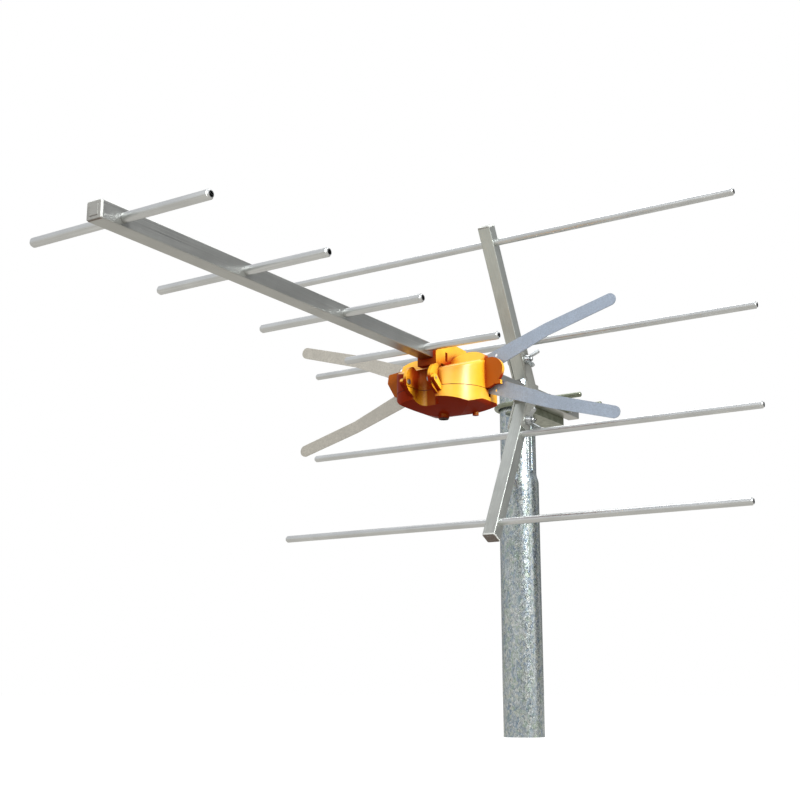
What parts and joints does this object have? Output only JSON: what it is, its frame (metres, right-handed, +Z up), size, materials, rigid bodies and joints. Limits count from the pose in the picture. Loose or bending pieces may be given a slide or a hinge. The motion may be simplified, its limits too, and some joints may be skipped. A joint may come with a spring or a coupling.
{
  "type": "yagi antenna",
  "caption": "Small UHF Yagi antenna on a galvanised mast: square boom, tube directors, butterfly dipole in a plastic box, folding chevron reflector, U-bolt clamp.",
  "frame": {"origin": "centre of the mast's foot, on the mast's axis", "axes": "+Z up along the mast, +X along the boom towards the directors, +Y along the rods, to the right of someone who looks back from the mast's top along -X"},
  "size_m": [0.8104, 0.569, 0.5717],
  "materials": {
    "galvanised_steel": "hot-dip galvanised, fine spangle",
    "boom_aluminium": "satin, drawn lengthwise",
    "rod_aluminium": "satin",
    "plate_aluminium": "fine sandblasted sheet",
    "bracket_aluminium": "pressed sheet, matt",
    "yellow_plastic": "glossy moulded, weatherproof",
    "pale_plastic": "moulded",
    "zinc_steel": "zinc plated, slightly yellow-green",
    "bright_zinc": "bright zinc plated",
    "dark_rubber": "moulded, brown-black",
    "board_laminate": "solder-masked laminate",
    "ferrite": "pressed ceramic",
    "copper_wire": "enamelled copper",
    "nickel_brass": "nickel plated"
  },
  "bodies": {
    "mast": {"mast_tube": "galvanised_steel"},
    "antenna": {"boom_tube": "boom_aluminium", "boom_front_cap": "pale_plastic", "director_1": "rod_aluminium", "director_2": "rod_aluminium", "director_3": "rod_aluminium", "director_4": "rod_aluminium", "upper_arm_bolt": "bright_zinc", "lower_arm_bolt": "bright_zinc", "upper_arm_washer": "bright_zinc", "lower_arm_washer": "bright_zinc", "reflector_bracket": "bracket_aluminium", "bracket_bolt": "bright_zinc", "bracket_nut": "bright_zinc", "mast_u_bolt": "zinc_steel", "mast_jaw": "zinc_steel", "u_bolt_washers": "zinc_steel", "u_bolt_nuts": "zinc_steel", "dipole_right": "plate_aluminium", "dipole_left": "plate_aluminium", "dipole_housing": "yellow_plastic", "cover_gasket": "dark_rubber", "cover_hinge_pins": "bright_zinc", "balun_board": "board_laminate", "balun_core": "ferrite", "balun_winding": "copper_wire", "coax_connector": "nickel_brass", "terminal_screws": "bright_zinc", "box_screw": "bright_zinc"},
    "upper_arm": {"upper_arm_tube": "boom_aluminium", "upper_arm_cap": "pale_plastic", "reflector_rod_1": "rod_aluminium", "reflector_rod_2": "rod_aluminium"},
    "lower_arm": {"lower_arm_tube": "boom_aluminium", "lower_arm_cap": "pale_plastic", "reflector_rod_3": "rod_aluminium", "reflector_rod_4": "rod_aluminium"},
    "upper_wing": {"upper_wing_nut": "bright_zinc"},
    "lower_wing": {"lower_wing_nut": "bright_zinc"},
    "cover": {"dipole_cover": "yellow_plastic", "cable_grommet": "dark_rubber"}
  },
  "joints": [
    {"name": "aim", "type": "hinge", "parent": "mast", "child": "antenna", "pos_m": [0, 0, 0.39], "axis": [0, 0, 1], "continuous": true},
    {"name": "upper_fold", "type": "hinge", "parent": "antenna", "child": "upper_arm", "pos_m": [0.08301, 0.046, 0.42597], "axis": [0, 1, 0], "range_deg": [0, 60]},
    {"name": "lower_fold", "type": "hinge", "parent": "antenna", "child": "lower_arm", "pos_m": [0.08301, 0.046, 0.35403], "axis": [0, -1, 0], "range_deg": [0, 40]},
    {"name": "upper_wing_turn", "type": "hinge", "parent": "antenna", "child": "upper_wing", "pos_m": [0.08301, 0.057, 0.42597], "axis": [0, 1, 0], "continuous": true},
    {"name": "lower_wing_turn", "type": "hinge", "parent": "antenna", "child": "lower_wing", "pos_m": [0.08301, 0.057, 0.35403], "axis": [0, 1, 0], "continuous": true},
    {"name": "cover_swing", "type": "hinge", "parent": "antenna", "child": "cover", "pos_m": [0.3025, 0.046, 0.3565], "axis": [0, -1, 0], "range_deg": [0, 85]}
  ]
}
